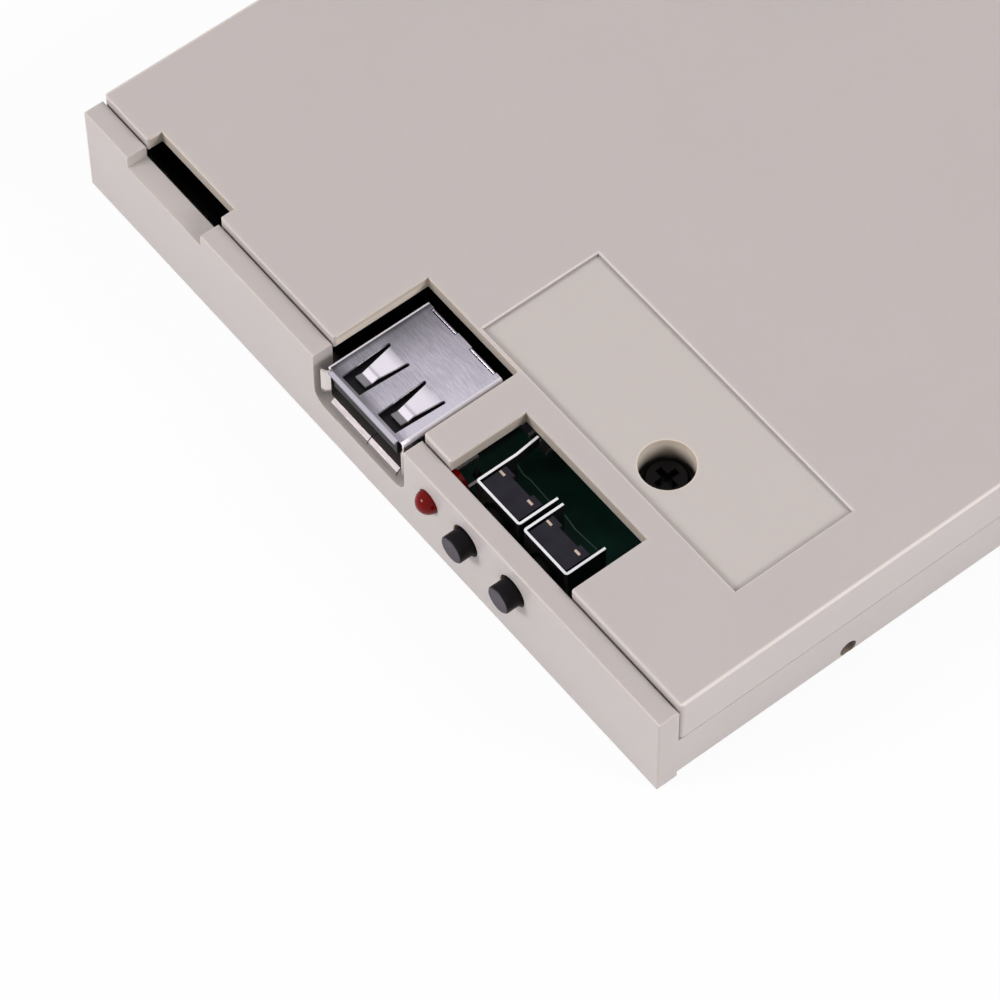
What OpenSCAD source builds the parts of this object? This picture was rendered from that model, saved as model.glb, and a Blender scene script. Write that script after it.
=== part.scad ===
/* [Case] */
// width of bezel, tray and cover
body_w = 101.6; // [98:0.2:110]
// depth from the bezel's face to the rear wall
body_d = 126; // [120:1:150]
// height of the bezel
bezel_h = 13.3; // [13:0.1:14]
// thickness of the bezel
bezel_t = 2.5; // [2:0.1:2.8]
// how far the bezel's face stands ahead of the line that depths are measured from
face_ahead = 0.18; // [0:0.02:0.4]
// underside of the tray above the bezel's lower edge
under_z = 0.55; // [0.3:0.05:0.7]
// height of the line where tray and cover part
part_z = 7.55; // [7:0.05:8]
// height of the cover's top face
cover_z = 14.3; // [14:0.1:16]
// thickness of the side and rear walls
wall = 2.0; // [1.6:0.1:2.4]
// thickness of the tray's floor
floor_t = 1.6; // [1.3:0.1:1.8]
// thickness of the cover's plate
plate_t = 1.85; // [1.5:0.05:2.2]
// gap between bezel and cover
front_gap = 0.2; // [0.1:0.05:0.3]
// shadow gap along the parting line
part_gap = 0.12; // [0.05:0.01:0.2]

/* [Edges] */
// rounding of the bezel's edges
bezel_r = 0.25; // [0.1:0.05:0.6]
// rounding of the bezel's foot behind and at its ends
foot_r = 0.4; // [0.1:0.05:0.5]
// rounding of the cover's long top edges
cover_r = 0.3; // [0.3:0.1:1.2]
// rounding of the cover's front edge, left of the receptacle
lead_r = 0.2; // [0.1:0.05:0.6]
// rounding of the cover's front edge, receptacle to window
lead_mid_r = 0.35; // [0.2:0.05:0.9]
// rounding of the cover's front edge, right of the window
lead_end_r = 0.4; // [0.2:0.05:0.95]
// rounding of the cover's outer front corners
outer_r = 0.6; // [0.1:0.05:0.9]
// bevel around the sunk label field
label_c = 0.18; // [0.05:0.01:0.2]
// rounding of the tray's lower edges
under_r = 0.8; // [0.3:0.1:1]
// rounding of the corners where notches meet the cover's front edge
corner_r = 0.25; // [0.1:0.05:1]

/* [Front openings] */
// middle of the USB receptacle, left to right
usb_x = -0.3; // [-2:0.1:1]
// middle of the USB opening, left to right
usb_cut_x = -0.55; // [-2:0.05:1]
// width of the USB opening
usb_cut_w = 16.0; // [15.2:0.1:17]
// lower edge of the USB opening in the bezel
usb_cut_z = 5.4; // [4.8:0.1:6]
// corner radius of the USB opening
usb_cut_r = 1.9; // [0.5:0.1:2.2]
// rear edge of the USB notch in the cover
usb_notch_y = 15.7; // [15.2:0.1:17]
// left edge of the window notch over the switches
win_x0 = 12.0; // [11:0.1:13]
// right edge of the window notch
win_x1 = 32.6; // [31:0.1:34]
// rear edge of the window notch
win_y = 13.05; // [12:0.05:14]
// left edge of the grip slot
slot_x0 = -42.6; // [-44:0.1:-40]
// right edge of the grip slot
slot_x1 = -29.0; // [-31:0.1:-27]
// rear edge of the grip slot in the cover
slot_y = 4.72; // [4:0.02:6]
// floor of the grip slot in the bezel
slot_z = 11.5; // [11:0.1:12.5]

/* [Label field] */
// left edge of the sunk label field
label_x0 = 0.56; // [0:0.02:4]
// right edge of the sunk label field
label_x1 = 43.33; // [40:0.01:45]
// front edge of the sunk label field
label_y0 = 16.2; // [15.9:0.1:18]
// rear edge of the sunk label field
label_y1 = 32.2; // [28:0.1:36]
// depth of the sunk label field
label_t = 0.5; // [0.2:0.05:0.8]
// cover screw, left to right
screw_x = 26.46; // [24:0.02:32]
// cover screw, behind the bezel's face
screw_y = 20.76; // [20:0.02:24]
// radius of the cover's screw hole
screw_hole_r = 3.22; // [3:0.02:3.4]

/* [Controls] */
// height of the light's and buttons' axis
axis_z = 9.08; // [8.9:0.02:9.3]
// indicator light, left to right
led_x = 11.77; // [11:0.01:12]
// radius of the light
led_r = 1.5; // [1.2:0.05:1.6]
// reach of the light in front of the bezel
led_reach = 1.7; // [1.6:0.1:2]
// first button, left to right
button_x = 18.2; // [18:0.05:18.6]
// pitch of the buttons
button_pitch = 8.05; // [7.9:0.05:9]
// radius of a button
button_r = 1.7; // [1.5:0.05:1.8]
// reach of a button in front of the bezel
button_reach = 2.2; // [1.5:0.1:3]
// travel of a button
button_travel = 0.25; // [0.1:0.01:0.25]

/* [Mounting] */
// front side hole, behind the bezel's face
side_y = 26.15; // [24:0.05:30]
// pitch of the side holes
side_pitch = 70; // [60:1:70]
// height of the side holes
side_z = 2.0; // [1.95:0.05:2.3]
// radius of the side holes
side_r = 1.1; // [0.8:0.05:1.15]
// depth of the side holes
side_depth = 6; // [4:0.5:7]

/* [Circuit board] */
// underside of the board
board_z = 4.0; // [3.9:0.05:4.2]
// thickness of the board
board_t = 1.6; // [1.2:0.1:1.6]
// front edge of the board
board_y0 = 5.7; // [5.2:0.1:6.2]
// gap between board and side walls
board_gap = 1.9; // [1.8:0.1:3]
// rear edge of the board ahead of the rear wall's outer face
board_rear = 9.5; // [9:0.5:12]

/* [Hidden] */
$fn = 48;
over = 1;
eps = 0.01;

case_col = [0.78, 0.75, 0.72];
board_col = [0.05, 0.25, 0.15];
steel_col = [0.75, 0.75, 0.76];
black_col = [0.1, 0.1, 0.11];
red_col = [0.7, 0.08, 0.06];
copper_col = [0.8, 0.55, 0.38];
gold_col = [0.85, 0.7, 0.35];
white_col = [0.9, 0.89, 0.85];
tan_col = [0.65, 0.52, 0.38];
blue_col = [0.12, 0.25, 0.6];

half_w = body_w / 2;
inner_x = half_w - wall;
front_y = -(body_d - button_reach) / 2;
cover_y = bezel_t + front_gap;
win_mid = (win_x0 + win_x1) / 2;
lead_edges = [[-half_w - over, usb_x, lead_r], [usb_x, win_mid, lead_mid_r],
    [win_mid, half_w + over, lead_end_r]];
floor_z = under_z + floor_t;
plate_z = cover_z - plate_t;
board_top = board_z + board_t;
board_half = inner_x - board_gap;
board_y1 = body_d - board_rear;
rear_in = body_d - wall;

tongue_t = 0.8;
tongue_h = 1.2;
fit_gap = 0.1;
tongue_z = part_z + tongue_h;
tongue_back = 1.6;
tongue_y = cover_y + tongue_back;

post_r = 2.75;
post_inset = 5.4;
post_y0 = 13;
post_back = 14;
post_y1 = board_y1 - post_back;
post_bore = 1.3;
boss_r = 3.4;
boss_bore = 1.5;
bore_floor = 0.6;
posts = [[-board_half + post_inset, post_y0], [board_half - post_inset, post_y0],
    [-board_half + post_inset, post_y1], [board_half - post_inset, post_y1]];

side_boss_w = 4.8;
side_boss_top = board_z - fit_gap;
side_ys = [side_y, side_y + side_pitch];

tube_r = 4.75;
tube_shoulder = 9.4;
tube_bore = 1.7;
head_r = 2.75;
head_h = 1.9;

snap_w = 6;
snap_t = 1.2;
snap_low = 5.5;
snap_bite = 0.6;
snap_rise = 1.0;
snap_gap = 0.15;
snap_at = [0.38, 0.64];
snap_y0 = body_d * snap_at[0];
snap_y1 = body_d * snap_at[1];
snaps = [[-1, snap_y0], [-1, snap_y1], [1, snap_y0], [1, snap_y1]];

rib_h = 1.0;
rib_t = 1.2;
rib_xs = [-24, 24];
rib_at = [0.32, 0.82];
rib_y0 = body_d * rib_at[0];
rib_y1 = body_d * rib_at[1];

pitch = 2.54;
pin_w = 0.64;
pin_hole = 0.5;
block_t = 2.54;
block_h = 5.08;
block_back = 3;
block_y = board_y1 - block_back;
pin_back = 3.5;
pin_tip = body_d - pin_back;
tail_gap = 1.2;
tail_out = 0.8;
tail_z = board_z - tail_out;
data_n = 17;
select_n = 7;
select_inset = 0.8;
select_x = board_half - select_inset - select_n * pitch / 2;
power_n = 4;
power_inset = 3;
power_pitch = 2.5;
power_w = 12.2;
power_x = -board_half + power_inset + power_w / 2;
data_x = (power_x + power_w / 2 + select_x - select_n * pitch / 2) / 2;
power_h = 6.2;
power_back = 5;
power_y = board_y1 - power_back;
power_depth = 9.0;
power_wall = 0.9;
port_z0 = 4.7;
port_z1 = 11.5;
port_gap = 1.5;
port_r = 0.6;
power_port_z1 = 12.1;

usb_w = 13.3;
usb_h = 5.7;
usb_t = 0.3;
usb_r = 0.5;
usb_z = 7.0;
usb_top = usb_z + usb_h;
usb_y0 = 0.75;
usb_tip = 0.08;
usb_y1 = 14.35;
usb_flare = 0.75;
lip_mid = 0.22;
lip_mid_d = 0.23;
lip_end_d = 0.45;
lip_edge = 0.1;
lip_tip_d = 0.68;
lip_in = 0.08;
lip_in_d = 0.5;
usb_top_flare = 0.08;
side_lip = [0.75, 4.6];
usb_side_z0 = usb_z + side_lip[0];
usb_side_z1 = usb_z + side_lip[1];
usb_lip_half = 5.85;
usb_seam_x = 0.75;
usb_seam = 0.12;
finger_x = 3.15;
finger_off = 0.15;
finger_w = 3.8;
finger_front_w = 3.2;
finger_y0 = 0.95;
finger_y1 = 7.7;
finger_slit = 0.45;
finger_t = 0.25;
finger_tip_w = 1.75;
crease_y = 3.9;
crease_drop = 0.32;
dip_y = 3.2;
dip_drop = 0.6;
toe_y = 2.3;
toe_drop = 0.42;
tab_x0 = 1.2;
tab_x1 = 5.5;
tab_gap = 0.18;
bead_r = 0.16;
back_low = 1.2;
leg_y = 10.2;
leg_w = 2.4;
shoulder_w = 4.0;
leg_hole = 1.45;
tongue_w = 11.1;
usb_tongue_t = 1.84;
usb_tongue_drop = 0.96;
usb_tongue_y = 0.65;
usb_block_y = 8.6;
usb_foot_y = 9.2;
contact_xs = [-3.5, -1.0, 1.0, 3.5];
contact_w = 1.1;
contact_t = 0.25;
contact_y0 = 1.3;
contact_y = 13.2;

led_flange_r = 1.9;
led_flange_t = 0.9;
led_back = 1.5;
led_base = bezel_t + led_back;
led_hole_gap = 0.06;
lead_w = 0.35;
lead_half = 1.27;
lead_y = 7.4;
lead_hole = 0.45;

sw_w = 7.42;
sw_t = 0.3;
sw_bend = 0.4;
sw_y = 4.15;
sw_y1 = 9.6;
sw_up = 3.32;
sw_top = axis_z + sw_up;
sw_lift = 0.5;
sw_low = board_top + sw_lift;
sw_flange_lift = 1.9;
sw_flange_z = board_top + sw_flange_lift;
sw_leg_w = 1.0;
sw_leg_y = 8.4;
sw_leg_hole = 0.75;
sw_hole_r = 2.15;
tail_len = 3.3;
tail_turn = 6;
tail_h = 1.7;
body_half = 3.12;
body_y = sw_y + sw_t;
body_y1 = 7.85;
body_drop = 0.12;
body_top = sw_top - body_drop;
body_lift = 0.35;
body_low = board_top + body_lift;
nose_t = 0.6;
bite_t = 0.45;
run_gap = 0.08;
cavity_r = 2.6;
cavity_y1 = 6.7;
flange_r = 2.2;
flange_t = 0.55;
play = 0.05;
chamfer = 0.15;
dome_r = 2.3;
dome_rise = 0.45;
dome_t = 0.12;
dome_flat = 0.7;
dome_y1 = 6.66;
strip_x = 2.38;
strip_off = -0.26;
strip_w = 0.8;
strip_t = 0.3;
strip_y = 6.95;
strip_gap = 0.05;
strip_up = 0.06;
button_gap = 0.35;
foot_t = 0.2;

field_gap = 2;
field_y0 = screw_y + tube_r + field_gap;
field_y1 = block_y - tail_gap - pitch - field_gap;
field_d = field_y1 - field_y0;

chip_w = 10;
chip_h = 1.4;
chip_lift = 0.1;
chip_x = -10;
chip_at = 0.43;
chip_y = field_y0 + field_d * chip_at;
chip_leads = 16;
chip_pitch = 0.5;
chip_lead_w = 0.22;
chip_lead_l = 1.0;
chip_lead_t = 0.15;
chip_dot_r = 0.6;
chip_dot_t = 0.1;

can_l = 10.8;
can_w = 4.4;
can_h = 3.4;
can_rim = 0.35;
can_rim_h = 0.5;
can_x = -28;
can_at = 0.4;
can_y = field_y0 + field_d * can_at;

reg_x = -22;
reg_back = 4;
reg_y = field_y1 - reg_back;
reg_w = 6.5;
reg_d = 3.5;
reg_h = 1.6;
reg_pitch = 2.3;
reg_lead_w = 0.7;
reg_lead_l = 1.7;
reg_tab_w = 3.0;
reg_lead_t = 0.25;

cap_back = 9;
cap_step = 11;
cap_xs = [-13, -34];
caps = [[cap_xs[0], field_y1 - cap_back], [cap_xs[1], field_y1 - cap_back - cap_step]];
cap_r = 3.15;
cap_h = 5.0;
cap_base_w = 6.6;
cap_base_h = 0.8;
cap_cut = 1.3;

res_l = 2.0;
res_w = 1.25;
res_h = 0.5;
res_end = 0.35;
res_pitch = 3.5;
res_at = 0.23;
res_row_y = field_y0 + field_d * res_at;
front_back = 2.4;
front_left = 2.6;
front_y0 = win_y + front_back;
front_x0 = win_x0 - front_left;
front_step = 3.0;
res_col_x = 8;
res_spots = [[front_x0, front_y0], [front_x0 + front_step, front_y0],
    [chip_x - 2 * res_pitch, res_row_y], [chip_x - res_pitch, res_row_y],
    [chip_x, res_row_y], [chip_x + res_pitch, res_row_y], [res_col_x, chip_y - res_pitch],
    [res_col_x, chip_y], [res_col_x, chip_y + res_pitch], [res_col_x, chip_y + 2 * res_pitch]];
mlc_h = 0.85;
mlc_off = 9;
mlc_spots = [[front_x0, front_y0 + front_step], [chip_x - mlc_off, chip_y - mlc_off],
    [chip_x - mlc_off, chip_y + mlc_off],
    [chip_x + mlc_off, chip_y + mlc_off], [can_x, can_y + mlc_off], [reg_x - mlc_off, reg_y]];

board_head_r = 2.3;
board_head_h = 1.5;
board_shank_r = 1.25;
board_screw_l = 5;
shank_r = 1.45;
cross_w = 0.8;
cross_l = 3.0;
cross_t = 1.1;
point_h = 0.8;
head_ease = 0.5;
point_r = 0.5;

module placed() {
    translate([0, front_y, 0])
        children();
}

module slab(x0, x1, y0, y1, z0, z1) {
    translate([x0, y0, z0])
        cube([x1 - x0, y1 - y0, z1 - z0]);
}

module along_y(y0, y1) {
    translate([0, y1, 0])
        rotate([90, 0, 0])
            linear_extrude(height = y1 - y0)
                children();
}

module along_x(x0, x1) {
    translate([x0, 0, 0])
        rotate([90, 0, 90])
            linear_extrude(height = x1 - x0)
                children();
}

module along_z(z0, z1) {
    translate([0, 0, z0])
        linear_extrude(height = z1 - z0)
            children();
}

module y_rod(x, y0, y1, z, r) {
    translate([x, y0, z])
        rotate([-90, 0, 0])
            cylinder(r = r, h = y1 - y0);
}

module x_rod(x0, x1, y, z, r) {
    translate([x0, y, z])
        rotate([0, 90, 0])
            cylinder(r = r, h = x1 - x0);
}

module edge_cut(r) {
    difference() {
        translate([-over, -over])
            square(r + over);
        translate([r, r])
            circle(r = r);
    }
}

module rounded(w, h, r) {
    square([w - 2 * r, h], center = true);
    square([w, h - 2 * r], center = true);
    for (sx = [-1, 1])
        for (sy = [-1, 1])
            translate([sx * (w / 2 - r), sy * (h / 2 - r)])
                circle(r = r);
}

// bezel plate with its edges eased
module bezel_plate() {
    difference() {
        slab(-half_w, half_w, -face_ahead, bezel_t, 0, bezel_h);
        along_x(-half_w - over, half_w + over) {
            translate([-face_ahead, 0])
                edge_cut(bezel_r);
            translate([-face_ahead, bezel_h])
                mirror([0, 1])
                    edge_cut(bezel_r);
            translate([bezel_t, bezel_h])
                rotate(180)
                    edge_cut(bezel_r);
            translate([bezel_t, 0])
                mirror([1, 0])
                    edge_cut(foot_r);
        }
        along_z(-over, bezel_h + over) {
            translate([-half_w, -face_ahead])
                edge_cut(bezel_r);
            translate([half_w, -face_ahead])
                mirror([1, 0])
                    edge_cut(bezel_r);
        }
        along_y(-over, bezel_t + over) {
            translate([-half_w, bezel_h])
                mirror([0, 1])
                    edge_cut(bezel_r);
            translate([half_w, bezel_h])
                rotate(180)
                    edge_cut(bezel_r);
            translate([-half_w, 0])
                edge_cut(foot_r);
            translate([half_w, 0])
                mirror([1, 0])
                    edge_cut(foot_r);
        }
    }
}

// openings in the bezel for receptacle, light, buttons and grip slot
module bezel_openings() {
    cut_h = bezel_h + over - usb_cut_z;
    along_y(-over, bezel_t + over) {
        translate([usb_cut_x, usb_cut_z + usb_cut_r + cut_h / 2])
            square([usb_cut_w, cut_h], center = true);
        translate([usb_cut_x, usb_cut_z + cut_h / 2])
            rounded(usb_cut_w, cut_h, usb_cut_r);
    }
    slab(slot_x0, slot_x1, -over, bezel_t + over, slot_z, bezel_h + over);
    y_rod(led_x, -over, bezel_t + over, axis_z, led_r + led_hole_gap);
    for (i = [0, 1])
        y_rod(button_x + i * button_pitch, -over, bezel_t + over, axis_z, button_r + button_gap);
}

// pan under the parting line with rounded lower edges
module tray_pan() {
    difference() {
        slab(-half_w, half_w, bezel_t - eps, body_d, under_z, part_z);
        slab(-inner_x, inner_x, bezel_t, rear_in, floor_z, part_z + over);
        along_y(bezel_t, body_d + over) {
            translate([-half_w, under_z])
                edge_cut(under_r);
            translate([half_w, under_z])
                mirror([1, 0])
                    edge_cut(under_r);
        }
        along_x(-half_w - over, half_w + over)
            translate([body_d, under_z])
                mirror([1, 0])
                    edge_cut(under_r);
    }
}

// rib around the top of the pan that the cover sits on
module tray_tongue() {
    difference() {
        slab(-inner_x - tongue_t, inner_x + tongue_t, tongue_y, rear_in + tongue_t, part_z - eps, tongue_z);
        slab(-inner_x, inner_x, tongue_y - over, rear_in, part_z - over, tongue_z + over);
    }
}

module port(x, w, z1) {
    mid = (port_z0 + z1) / 2;
    along_y(rear_in - over, body_d + over)
        translate([x, mid])
            rounded(w, z1 - port_z0, port_r);
}

module rear_ports() {
    port(data_x, data_n * pitch + 2 * port_gap, port_z1);
    port(select_x, select_n * pitch + 2 * fit_gap, port_z1);
    port(power_x, power_w + port_gap, power_port_z1);
}

module lower_tray() {
    color(case_col)
        placed()
            difference() {
                union() {
                    bezel_plate();
                    tray_pan();
                    tray_tongue();
                    for (p = posts)
                        translate([p[0], p[1], floor_z - eps])
                            cylinder(r = post_r, h = board_z - floor_z + eps);
                    translate([screw_x, screw_y, floor_z - eps])
                        cylinder(r = boss_r, h = board_z - floor_z + eps);
                    for (y = side_ys)
                        for (s = [-1, 1])
                            slab(s * inner_x - (s + 1) / 2 * side_depth - eps,
                                s * inner_x + (1 - s) / 2 * side_depth + eps,
                                y - side_boss_w / 2, y + side_boss_w / 2, floor_z - eps, side_boss_top);
                }
                bezel_openings();
                rear_ports();
                for (p = posts)
                    translate([p[0], p[1], under_z + bore_floor])
                        cylinder(r = post_bore, h = board_z);
                translate([screw_x, screw_y, under_z + bore_floor])
                    cylinder(r = boss_bore, h = board_z);
                for (y = side_ys) {
                    x_rod(half_w - side_depth, half_w + over, y, side_z, side_r);
                    x_rod(-half_w - over, -half_w + side_depth, y, side_z, side_r);
                }
                for (s = snaps)
                    snap_pocket(s[0], s[1]);
            }
}

module snap_pocket(side, y) {
    half = snap_w / 2 + fit_gap;
    mirror([side < 0 ? 1 : 0, 0, 0])
        slab(inner_x - over, inner_x + snap_bite, y - half, y + half, snap_low - fit_gap,
            snap_low + snap_rise + fit_gap);
}

// hook that reaches down inside the tray's wall
module snap_hook(side, y) {
    x1 = inner_x - snap_gap;
    x0 = x1 - snap_t;
    along_y(y - snap_w / 2, y + snap_w / 2)
        mirror([side < 0 ? 1 : 0, 0])
            polygon([[x0, plate_z + eps], [x0, snap_low], [x1, snap_low],
                [x1 + snap_bite - fit_gap, snap_low + snap_rise], [x1, snap_low + snap_rise],
                [x1, plate_z + eps]]);
}

module cover_block() {
    difference() {
        slab(-half_w, half_w, cover_y, body_d, part_z + part_gap, cover_z);
        slab(-inner_x, inner_x, cover_y - over, rear_in, part_z - over, plate_z);
        slab(-inner_x - tongue_t - fit_gap, inner_x + tongue_t + fit_gap, cover_y - over,
            rear_in + tongue_t + fit_gap, part_z - over, tongue_z);
        along_y(cover_y - over, body_d + over) {
            translate([-half_w, cover_z])
                mirror([0, 1])
                    edge_cut(cover_r);
            translate([half_w, cover_z])
                rotate(180)
                    edge_cut(cover_r);
        }
        for (e = lead_edges)
            along_x(e[0], e[1])
                translate([cover_y, cover_z])
                    mirror([0, 1])
                        edge_cut(e[2]);
        along_x(-half_w - over, half_w + over)
            translate([body_d, cover_z])
                rotate(180)
                    edge_cut(cover_r);
        along_z(part_z - over, cover_z + over) {
            translate([-half_w, cover_y])
                edge_cut(outer_r);
            translate([half_w, cover_y])
                mirror([1, 0])
                    edge_cut(outer_r);
        }
    }
}

// notch in the cover's front edge with rounded outer corners
module notch(x0, x1, y1) {
    slab(x0, x1, cover_y - over, y1, part_z, cover_z + over);
    along_z(plate_z - over, cover_z + over) {
        translate([x0, cover_y])
            mirror([1, 0])
                edge_cut(corner_r);
        translate([x1, cover_y])
            edge_cut(corner_r);
    }
}

// bevel around the label field, as two crossed wedges
module label_bevel() {
    flare = label_c + over;
    intersection() {
        along_x(label_x0 - flare, label_x1 + flare)
            polygon([[label_y0, cover_z - label_c], [label_y1, cover_z - label_c],
                [label_y1 + flare, cover_z + over], [label_y0 - flare, cover_z + over]]);
        along_y(label_y0 - flare, label_y1 + flare)
            polygon([[label_x0, cover_z - label_c], [label_x1, cover_z - label_c],
                [label_x1 + flare, cover_z + over], [label_x0 - flare, cover_z + over]]);
    }
}

module top_cover() {
    color(case_col)
        placed()
            difference() {
                union() {
                    cover_block();
                    translate([screw_x, screw_y, board_top])
                        cylinder(r = tube_r, h = plate_z - board_top + eps);
                    for (s = snaps)
                        snap_hook(s[0], s[1]);
                    for (x = rib_xs)
                        slab(x - rib_t / 2, x + rib_t / 2, rib_y0, rib_y1, plate_z - rib_h, plate_z + eps);
                    for (y = [rib_y0, rib_y1])
                        slab(rib_xs[0], rib_xs[1], y - rib_t / 2, y + rib_t / 2, plate_z - rib_h,
                            plate_z + eps);
                }
                notch(slot_x0, slot_x1, slot_y);
                notch(usb_cut_x - usb_cut_w / 2, usb_cut_x + usb_cut_w / 2, usb_notch_y);
                notch(win_x0, win_x1, win_y);
                slab(label_x0, label_x1, label_y0, label_y1, cover_z - label_t, cover_z + over);
                label_bevel();
                translate([screw_x, screw_y, tube_shoulder])
                    cylinder(r = screw_hole_r, h = cover_z);
                translate([screw_x, screw_y, board_top - over])
                    cylinder(r = tube_bore, h = cover_z);
                rear_ports();
            }
}

module board_hole(x, y, r) {
    translate([x, y, board_z - over])
        cylinder(r = r, h = board_t + 2 * over);
}

module circuit_board() {
    color(board_col)
        placed()
            difference() {
                slab(-board_half, board_half, board_y0, board_y1, board_z, board_top);
                for (p = posts)
                    board_hole(p[0], p[1], post_bore + 2 * fit_gap);
                board_hole(screw_x, screw_y, tube_bore);
                for (s = [-1, 1]) {
                    board_hole(led_x + s * lead_half, lead_y, lead_hole);
                    board_hole(usb_x + s * (usb_w - usb_t) / 2, leg_y, leg_hole);
                }
                for (x = contact_xs)
                    board_hole(usb_x + x, contact_y, contact_w / 2 + fit_gap);
                for (i = [0, 1])
                    for (s = [-1, 1]) {
                        board_hole(button_x + i * button_pitch + s * (sw_w - sw_t) / 2,
                            sw_leg_y + sw_leg_w / 2, sw_leg_w / 2 + fit_gap);
                        board_hole(button_x + i * button_pitch + strip_off + s * strip_x, strip_y,
                            strip_w / 2 + fit_gap);
                    }
                header_holes(data_x, data_n);
                header_holes(select_x, select_n);
                for (i = [0:power_n - 1])
                    board_hole(power_x + (i - (power_n - 1) / 2) * power_pitch, power_y - tail_gap,
                        pin_hole);
            }
}

module header_holes(x, n) {
    for (i = [0:n - 1])
        for (row = [0, 1])
            board_hole(x + (i - (n - 1) / 2) * pitch, block_y - tail_gap - row * pitch, pin_hole);
}

// block of a right-angle header
module header_block(x, n) {
    difference() {
        slab(x - n * pitch / 2, x + n * pitch / 2, block_y, block_y + block_t, board_top,
            board_top + block_h);
        for (i = [0:n - 1])
            for (row = [0, 1])
                translate([x + (i - (n - 1) / 2) * pitch, block_y + block_t / 2,
                    board_top + pitch / 2 + row * pitch])
                    cube([pin_w, block_t + over, pin_w], center = true);
        for (i = [1:n - 1])
            for (z = [board_top, board_top + block_h])
                translate([x + (i - n / 2) * pitch, block_y + block_t / 2, z])
                    rotate([0, 45, 0])
                        cube([pin_w, block_t + over, pin_w], center = true);
    }
}

// bent pin of a right-angle header
module bent_pin(x, y_tail, y_tip, z) {
    slab(x - pin_w / 2, x + pin_w / 2, y_tail - pin_w / 2, y_tip, z - pin_w / 2, z + pin_w / 2);
    slab(x - pin_w / 2, x + pin_w / 2, y_tail - pin_w / 2, y_tail + pin_w / 2, tail_z, z);
}

module header_pins(x, n) {
    for (i = [0:n - 1])
        for (row = [0, 1])
            bent_pin(x + (i - (n - 1) / 2) * pitch, block_y - tail_gap - row * pitch, pin_tip,
                board_top + pitch / 2 + row * pitch);
}

module data_header() {
    color(black_col)
        placed()
            header_block(data_x, data_n);
}

module data_pins() {
    color(gold_col)
        placed()
            header_pins(data_x, data_n);
}

module select_header() {
    color(black_col)
        placed()
            header_block(select_x, select_n);
}

module select_pins() {
    color(gold_col)
        placed()
            header_pins(select_x, select_n);
}

module jumper_caps() {
    cap_y0 = block_y + block_t;
    color(blue_col)
        placed()
            for (i = [1, 3])
                difference() {
                    x = select_x + (i - (select_n - 1) / 2) * pitch;
                    slab(x - pitch / 2 + fit_gap, x + pitch / 2 - fit_gap, cap_y0, pin_tip + fit_gap,
                        board_top + fit_gap, board_top + block_h - fit_gap);
                    for (row = [0, 1])
                        slab(x - pin_w / 2, x + pin_w / 2, cap_y0 - over, pin_tip,
                            board_top + pitch / 2 + row * pitch - pin_w / 2,
                            board_top + pitch / 2 + row * pitch + pin_w / 2);
                }
}

module power_header() {
    y1 = power_y + power_depth;
    x0 = power_x - power_w / 2;
    x1 = power_x + power_w / 2;
    lip_z = board_top + power_h;
    color(white_col)
        placed()
            difference() {
                slab(x0, x1, power_y, y1, board_top, lip_z);
                slab(x0 + power_wall, x1 - power_wall, power_y + block_t, y1 + over, board_top + power_wall,
                    lip_z - power_wall);
                slab(power_x - power_pitch, power_x + power_pitch, power_y + block_t, y1 + over,
                    lip_z - over, lip_z + over);
                for (i = [0:power_n - 1])
                    translate([power_x + (i - (power_n - 1) / 2) * power_pitch, power_y + block_t / 2,
                        board_top + power_h / 2])
                        cube([pin_w, block_t + over, pin_w], center = true);
            }
}

module power_pins() {
    color(gold_col)
        placed()
            for (i = [0:power_n - 1])
                bent_pin(power_x + (i - (power_n - 1) / 2) * power_pitch, power_y - tail_gap,
                    power_y + power_depth - over, board_top + power_h / 2);
}

// flat outline of a spring finger, root at the rear
module finger_outline() {
    root = finger_w / 2 - finger_slit;
    tip = finger_tip_w / 2;
    polygon([[-root, finger_y1 + eps], [root, finger_y1 + eps], [tip, crease_y], [tip, toe_y],
        [-tip, toe_y], [-tip, crease_y]]);
}

// side view of a spring finger: slope to the crease, steeper to the dip, then up to the toe
module finger_side() {
    low = usb_h - finger_t;
    polygon([[finger_y1 + eps, usb_h], [crease_y, usb_h - crease_drop], [dip_y, usb_h - dip_drop],
        [toe_y, usb_h - toe_drop], [toe_y, low - toe_drop], [dip_y, low - dip_drop],
        [crease_y, low - crease_drop], [finger_y1 + eps, low]]);
}

module fingers() {
    for (s = [-1, 1])
        translate([finger_off + s * finger_x, 0, 0])
            intersection() {
                along_x(-finger_w, finger_w)
                    finger_side();
                along_z(0, usb_h + over)
                    finger_outline();
            }
}

// windows around the fingers, wider at the rear, where the two slits end round
module finger_windows() {
    slit_y = finger_y1 - finger_slit / 2;
    along_z(usb_h - usb_t - eps, usb_h + over)
        for (s = [-1, 1])
            translate([finger_off + s * finger_x, 0]) {
                polygon([[-finger_front_w / 2, finger_y0], [finger_front_w / 2, finger_y0],
                    [finger_w / 2, slit_y], [-finger_w / 2, slit_y]]);
                for (k = [-1, 1])
                    translate([k * (finger_w - finger_slit) / 2, slit_y])
                        circle(r = finger_slit / 2);
            }
}

// straight lip of the top: u out of the wall, v along the insertion
module top_lip_profile() {
    polygon([[-usb_t, usb_y0 + eps], [0, usb_y0 + eps], [usb_top_flare, usb_tip],
        [usb_top_flare - usb_t, usb_tip]]);
}

// lip bent outwards in two steps: u out of the wall, v along the insertion
module lip_profile() {
    polygon([[-usb_t, usb_y0 + eps], [0, usb_y0 + eps], [lip_mid, usb_y0 - lip_mid_d],
        [usb_flare, usb_y0 - lip_end_d], [usb_flare - lip_edge, usb_y0 - lip_tip_d],
        [lip_in, usb_y0 - lip_in_d]]);
}

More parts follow.
